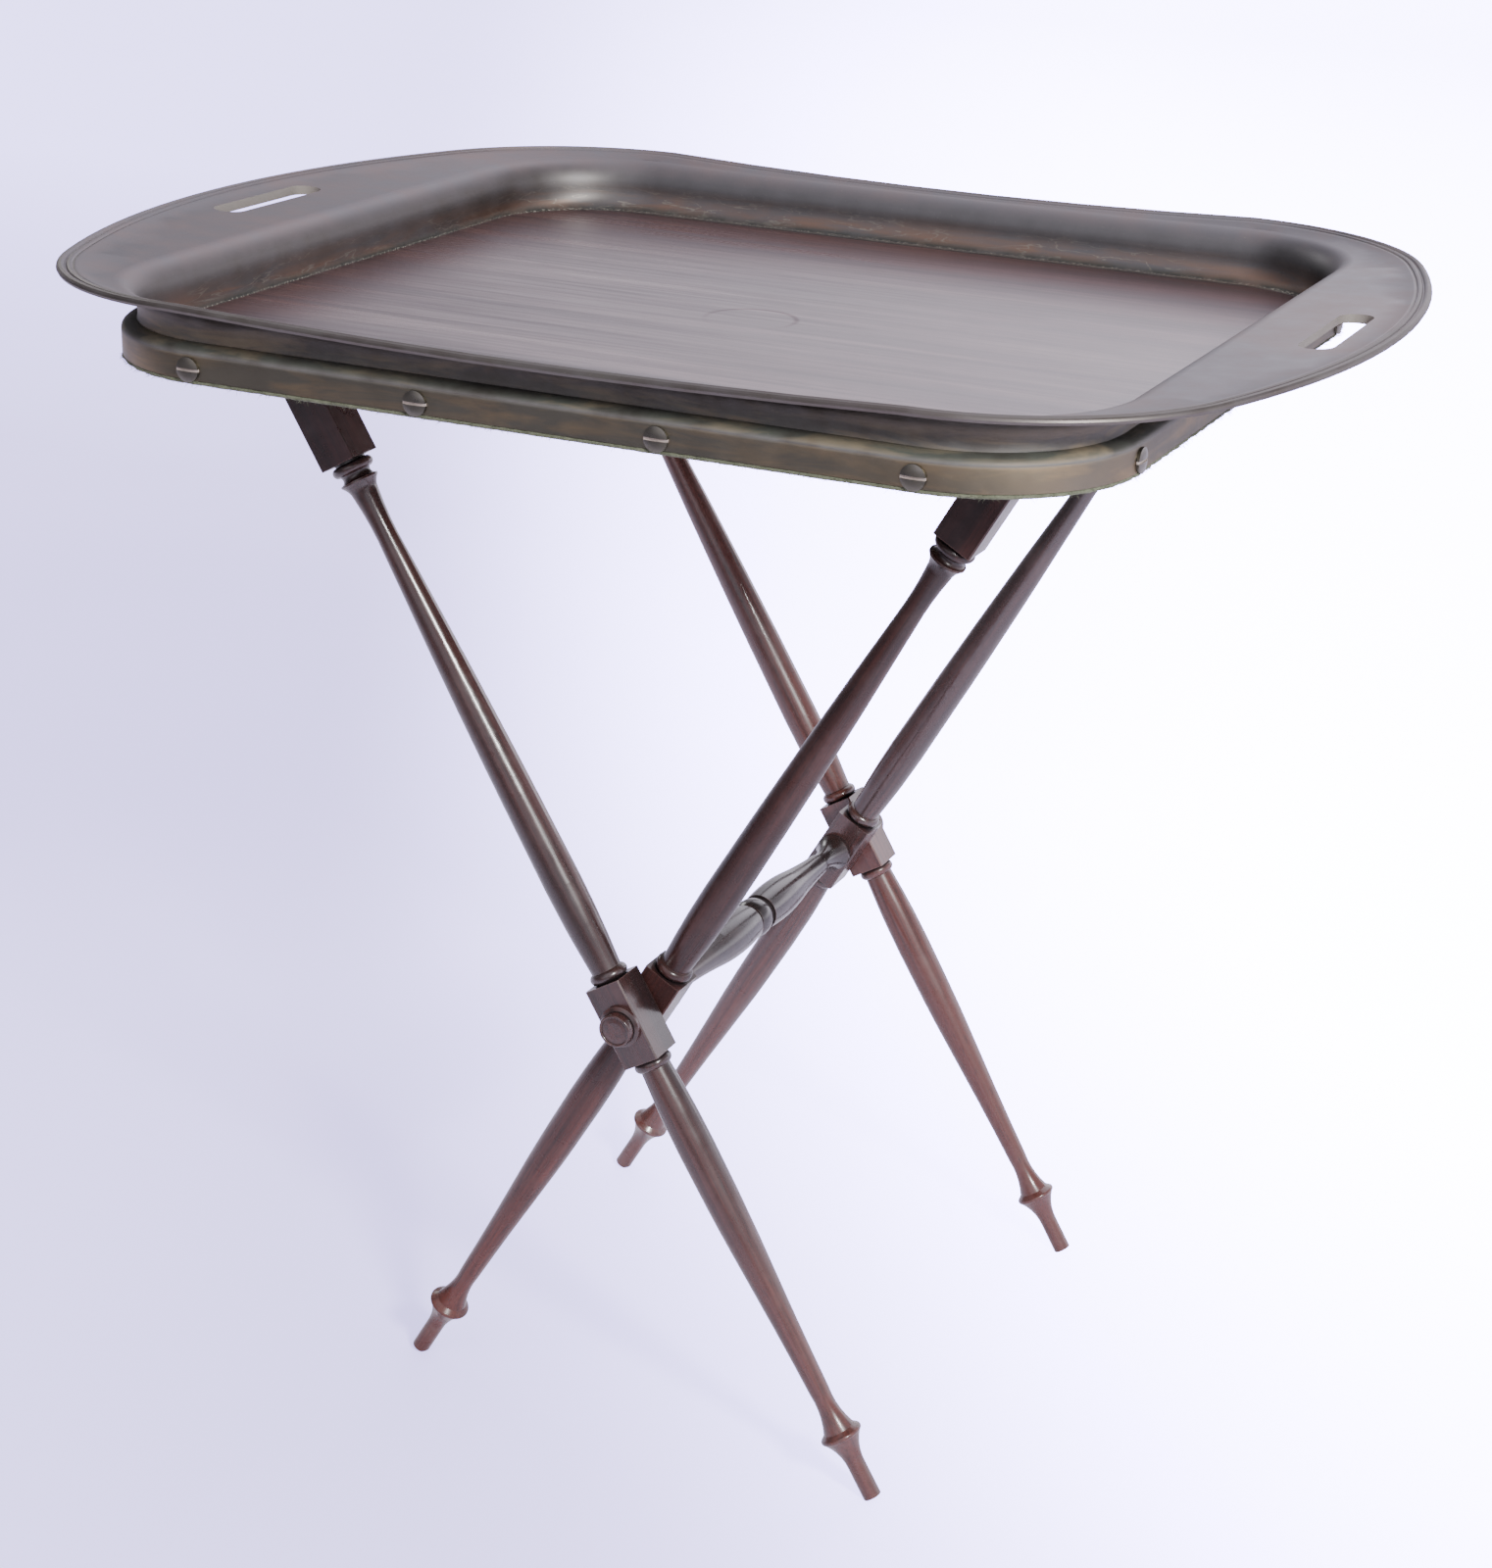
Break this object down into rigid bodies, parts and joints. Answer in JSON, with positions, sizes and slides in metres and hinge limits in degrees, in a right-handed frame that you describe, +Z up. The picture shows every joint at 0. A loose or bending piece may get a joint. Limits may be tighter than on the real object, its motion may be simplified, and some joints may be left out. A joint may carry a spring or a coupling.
{
  "type": "butler's tray table",
  "caption": "Butler's tray table: metal-edged wooden tray with bowed ends and hand slots, resting on a folding turned X-frame stand joined at a pivot stretcher.",
  "frame": {"origin": "on the floor under the middle of the stand and tray", "axes": "+Z up, +X along the tray towards the end where the outer legs stand, +Y from front to back"},
  "size_m": [0.7972, 0.6126, 0.7374],
  "materials": {
    "stand_wood": "polished",
    "webbing": "woven",
    "washer_metal": "dull",
    "tray_metal": "patinated",
    "board_wood": "polished",
    "baize": "worn",
    "screw_metal": "patinated"
  },
  "bodies": {
    "inner_frame": {"inner_leg_front": "stand_wood", "inner_leg_back": "stand_wood", "inner_top_rail": "stand_wood", "stretcher": "stand_wood", "pivot_pin_front": "stand_wood", "pivot_pin_back": "stand_wood", "pivot_washer_front": "washer_metal", "pivot_washer_back": "washer_metal", "strap_front": "webbing", "strap_back": "webbing"},
    "outer_frame": {"outer_leg_front": "stand_wood", "outer_leg_back": "stand_wood", "outer_top_rail": "stand_wood"},
    "tray": {"tray_gallery": "tray_metal", "tray_board": "board_wood", "tray_baize": "baize", "screw_front_1": "screw_metal", "screw_front_2": "screw_metal", "screw_front_3": "screw_metal", "screw_front_4": "screw_metal", "screw_back_1": "screw_metal", "screw_back_2": "screw_metal", "screw_back_3": "screw_metal", "screw_back_4": "screw_metal", "screw_right_1": "screw_metal", "screw_right_2": "screw_metal", "screw_left_1": "screw_metal", "screw_left_2": "screw_metal"}
  },
  "joints": [
    {"name": "stand_fold", "type": "hinge", "parent": "inner_frame", "child": "outer_frame", "pos_m": [0, 0, 0.29499], "axis": [0, 1, 0], "range_deg": [0, 55], "deforming": ["strap_front", "strap_back"]},
    {"name": "tray_lift", "type": "slide", "parent": "inner_frame", "child": "tray", "axis": [0, 0, 1], "range_m": [0, 0.3]}
  ],
  "couplings": [
    {"joint": "tray_lift", "follows": "stand_fold", "m_per_rad": 0.3}
  ]
}
